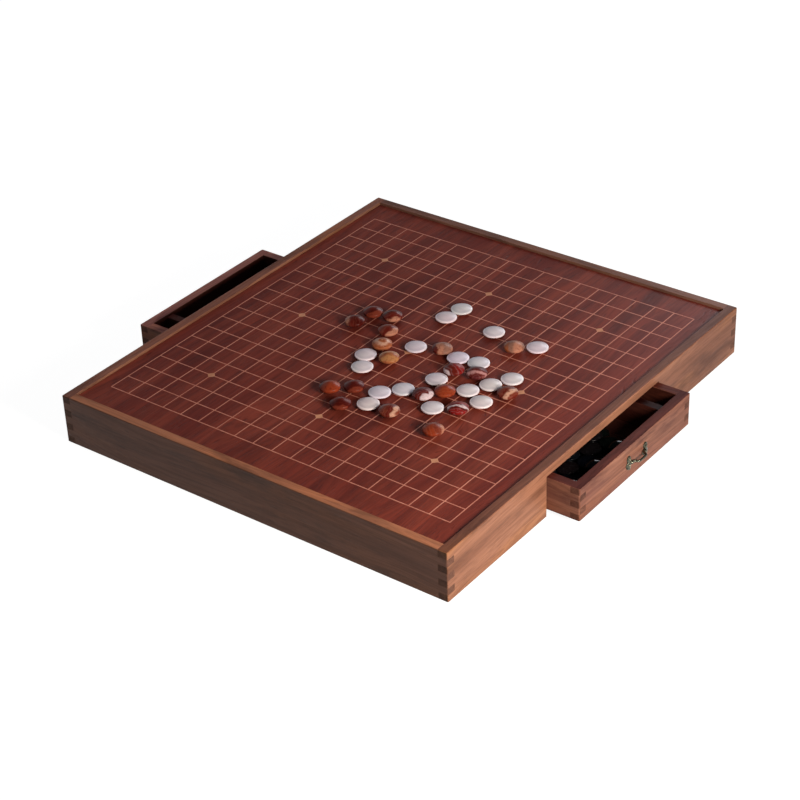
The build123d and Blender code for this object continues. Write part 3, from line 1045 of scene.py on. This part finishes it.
agate_profile = stone_profile(2 * agate_radius, agate_thickness, agate_edge, rings=12)
agate_shape = bmesh.new()
agate_colours = {
    layer: agate_shape.verts.layers.float_vector.new(layer) for layer in ("ground", "bands", "vein")
}
agate_way = agate_shape.verts.layers.float.new("way")
agate_count = agate_shape.verts.layers.float.new("count")
agate_vein_place = agate_shape.verts.layers.float.new("vein_place")
agate_vein_reach = agate_shape.verts.layers.float.new("vein_reach")
for place, (ground, bands, vein, count, bearing, vein_place, vein_reach) in zip(
    stone_places("agate_stones", agate_thickness), agate_kinds
):
    for row in add_stone(
        agate_shape, agate_profile, place, board_stone_sides, chance, agate_unevenness
    ):
        for vertex in row:
            for layer, colour in (("ground", ground), ("bands", bands), ("vein", vein)):
                vertex[agate_colours[layer]] = Vector(colour[:3])
            from_axis = vertex.co.xy - place.xy
            if bearing is None:
                way = from_axis.length
            else:
                angle = math.radians(bearing)
                way = from_axis.dot(Vector((math.cos(angle), math.sin(angle))))
            vertex[agate_way] = way / agate_radius
            vertex[agate_count] = count
            vertex[agate_vein_place] = vein_place
            vertex[agate_vein_reach] = vein_reach

agate, tree, shader, place = polished_stone("banded_agate", roughness=0.3, gloss=0.1)
ground = attribute(tree, "ground").outputs["Color"]
bands = attribute(tree, "bands").outputs["Color"]
vein = attribute(tree, "vein").outputs["Color"]
swirl = stretched_noise(tree, place, (110.0, 110.0, 70.0), 3.0, 0.55).outputs[0]
swirled = maths(tree, "MULTIPLY_ADD", swirl, 0.9, attribute(tree, "way").outputs["Fac"])
swirled = maths(tree, "SUBTRACT", swirled, 0.45)
turns = maths(tree, "MULTIPLY", swirled, attribute(tree, "count").outputs["Fac"])
broad = maths(tree, "SINE", maths(tree, "MULTIPLY", turns, math.pi))
thin = maths(tree, "SINE", maths(tree, "MULTIPLY", turns, 6.3 * math.pi))
body = mixed(tree, step_between(tree, broad, -0.5, 0.9), ground, bands)
thin_share = maths(tree, "MULTIPLY", step_between(tree, thin, 0.2, 1.0), 0.2)
body = mixed(tree, thin_share, body, mixed(tree, 0.5, bands, vein))
vein_distance = maths(
    tree,
    "ABSOLUTE",
    maths(tree, "SUBTRACT", swirled, attribute(tree, "vein_place").outputs["Fac"]),
)
vein_depth = maths(tree, "SUBTRACT", attribute(tree, "vein_reach").outputs["Fac"], vein_distance)
body = mixed(tree, step_between(tree, vein_depth, -0.10, 0.08), body, vein)
cloud = stretched_noise(tree, place, (420.0, 420.0, 420.0), 2.0).outputs[0]
cloudy = mixed(tree, 1.0, body, (0.72, 0.62, 0.62, 1.0), "MULTIPLY")
body = mixed(tree, step_between(tree, cloud, 0.5, 0.72), body, cloudy)
tree.links.new(body, shader.inputs["Base Color"])
finished_piece("agate_pieces", agate_shape, agate, "root", "banded_agate", "agate_stones")

# -------------------------------------------------------------- the dark stones
# The other side's spare stones, near black and polished like glass, with a breath
# of blue, green or red in each. They fill most of the right drawer, two deep.
dark_thickness = 0.0070
dark_unevenness = 0.006
dark_stone_sides = 40
same_layer = 0.001
upper_lift = 0.0003
dark_profile = stone_profile(stone_diameter, dark_thickness, stone_edge, rings=8)
dark_shape = bmesh.new()
dark_tint = dark_shape.verts.layers.float_vector.new("tint")
dark_places = stone_places("dark_stones", dark_thickness)
lowest_layer = min(place.z for place in dark_places)
for place in dark_places:
    tint = Vector((0.004, 0.005, 0.006))
    tint[chance.randrange(3)] += chance.uniform(0.001, 0.004)
    is_upper = place.z > lowest_layer + same_layer
    tilt = math.radians(chance.uniform(0.5, 3.0)) if is_upper else 0.0
    lift = upper_lift if is_upper else 0.0
    for row in add_stone(
        dark_shape, dark_profile, place, dark_stone_sides, chance, dark_unevenness, tilt, lift
    ):
        for vertex in row:
            vertex[dark_tint] = tint

dark_glass, tree, shader, place = polished_stone("dark_polished_stone", roughness=0.08, gloss=0.2)
flecks = stretched_noise(tree, place, (260.0, 260.0, 260.0), 2.0)
tree.links.new(
    mixed(
        tree,
        step_between(tree, flecks.outputs[0], 0.55, 0.8),
        attribute(tree, "tint").outputs["Color"],
        (0.014, 0.014, 0.016, 1.0),
    ),
    shader.inputs["Base Color"],
)
finished_piece("dark_pieces", dark_shape, dark_glass, "right_drawer", "dark_stone", "dark_stones")
